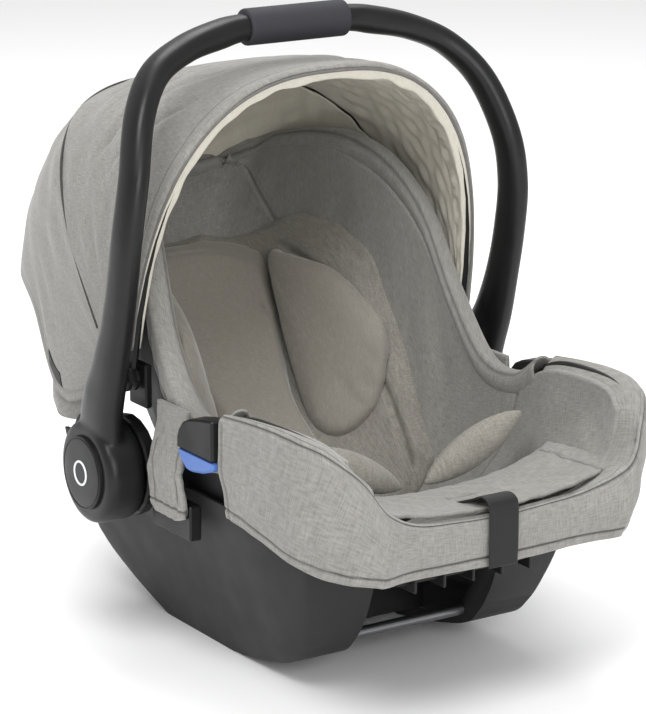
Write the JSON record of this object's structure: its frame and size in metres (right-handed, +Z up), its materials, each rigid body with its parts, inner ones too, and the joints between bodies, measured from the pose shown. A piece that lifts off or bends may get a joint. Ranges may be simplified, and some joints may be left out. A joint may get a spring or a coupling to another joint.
{
  "type": "infant car seat",
  "caption": "Rear-facing infant car seat: padded bucket shell on rocker skirts, swing-over carrying handle, folding fabric canopy.",
  "frame": {"origin": "on the floor, under the middle of the seat's outer box", "axes": "+X across the seat to the right as seen from the foot end, +Y from the foot end towards the head end, +Z up"},
  "size_m": [0.444, 0.6554, 0.5655],
  "materials": {
    "black_plastic": "satin moulded black polypropylene",
    "dark_shell_plastic": "fine-textured charcoal polypropylene",
    "grey_fabric": "light warm grey melange weave",
    "soft_grey_fabric": "smooth brushed grey knit",
    "black_webbing": "woven black webbing",
    "zinc_plated_steel": "zinc plated",
    "blue_plastic": "satin blue moulding",
    "red_plastic": "satin red moulding",
    "slate_plastic": "soft-touch slate moulding"
  },
  "bodies": {
    "carrier": {"seat_shell": "dark_shell_plastic", "side_panel_left": "dark_shell_plastic", "side_panel_right": "dark_shell_plastic", "front_latch_bar": "zinc_plated_steel", "rear_latch_bar": "zinc_plated_steel", "latch_housing": "dark_shell_plastic", "release_pocket": "dark_shell_plastic", "belt_guide_left": "black_plastic", "belt_guide_right": "black_plastic", "belt_guide_insert_left": "blue_plastic", "belt_guide_insert_right": "blue_plastic", "adaptor_socket_left": "black_plastic", "adaptor_socket_right": "black_plastic", "hub_base_left": "black_plastic", "hub_base_right": "black_plastic", "canopy_bracket_left": "black_plastic", "canopy_bracket_right": "black_plastic", "canopy_pin_left": "zinc_plated_steel", "canopy_pin_right": "zinc_plated_steel", "seat_cover": "grey_fabric", "back_pad": "soft_grey_fabric", "insert_body": "soft_grey_fabric", "insert_wing_left": "soft_grey_fabric", "insert_wing_right": "soft_grey_fabric", "thigh_wing_left": "soft_grey_fabric", "thigh_wing_right": "soft_grey_fabric", "foot_cover": "grey_fabric", "head_cover": "grey_fabric", "side_flap_left": "grey_fabric", "side_flap_right": "grey_fabric", "adjuster_strap": "black_webbing", "adjuster_housing": "zinc_plated_steel", "buckle_strap": "black_webbing", "buckle_body": "black_plastic", "shoulder_strap_left": "black_webbing", "shoulder_strap_right": "black_webbing", "pivot_pin_left": "zinc_plated_steel", "pivot_pin_right": "zinc_plated_steel", "canopy_rear_panel": "grey_fabric"},
    "handle": {"handle_bail": "black_plastic", "handle_grip": "slate_plastic", "hub_cap_left": "black_plastic", "hub_cap_right": "black_plastic"},
    "handle_button_left": {"handle_button_left": "slate_plastic"},
    "handle_button_right": {"handle_button_right": "slate_plastic"},
    "canopy_rear": {"canopy_rear_bow": "black_plastic"},
    "canopy_front": {"canopy_front_bow": "black_plastic", "canopy_front_panel": "grey_fabric"},
    "release_lever": {"release_lever": "black_plastic"},
    "latch": {"latch_hooks": "zinc_plated_steel"},
    "buckle_button": {"buckle_button": "red_plastic"},
    "adjuster_tab": {"adjuster_tab": "slate_plastic"}
  },
  "joints": [
    {"name": "handle_swing", "type": "hinge", "parent": "carrier", "child": "handle", "pos_m": [0, 0.0175, 0.166], "axis": [1, 0, 0], "range_deg": [-110, 0]},
    {"name": "handle_button_left_press", "type": "slide", "parent": "handle", "child": "handle_button_left", "axis": [0, -0.8829, -0.4695], "range_m": [0, 0.0035], "stiffness_N_per_m": 300},
    {"name": "handle_button_right_press", "type": "slide", "parent": "handle", "child": "handle_button_right", "axis": [0, -0.8829, -0.4695], "range_m": [0, 0.0035], "stiffness_N_per_m": 300},
    {"name": "canopy_rear_fold", "type": "hinge", "parent": "carrier", "child": "canopy_rear", "pos_m": [0, 0.0025, 0.25], "axis": [-1, 0, 0], "range_deg": [0, 9.1], "deforming": ["canopy_rear_panel"]},
    {"name": "canopy_front_fold", "type": "hinge", "parent": "canopy_rear", "child": "canopy_front", "pos_m": [0, 0.0025, 0.25], "axis": [-1, 0, 0], "range_deg": [0, 26], "deforming": ["canopy_front_panel"]},
    {"name": "release_pull", "type": "slide", "parent": "carrier", "child": "release_lever", "axis": [0, 0.7193, 0.6947], "range_m": [0, 0.012], "stiffness_N_per_m": 400},
    {"name": "latch_turn", "type": "hinge", "parent": "carrier", "child": "latch", "pos_m": [0, 0.045, 0.046], "axis": [1, 0, 0], "range_deg": [-25, 0]},
    {"name": "buckle_press", "type": "slide", "parent": "carrier", "child": "buckle_button", "axis": [0, -0.4787, -0.878], "range_m": [0, 0.003], "stiffness_N_per_m": 400},
    {"name": "adjuster_press", "type": "slide", "parent": "carrier", "child": "adjuster_tab", "axis": [0, 0, -1], "range_m": [0, 0.003], "stiffness_N_per_m": 400}
  ],
  "couplings": [
    {"joint": "canopy_rear_fold", "follows": "canopy_front_fold", "ratio": 0.35},
    {"joint": "latch_turn", "follows": "release_pull", "rad_per_m": -36}
  ]
}
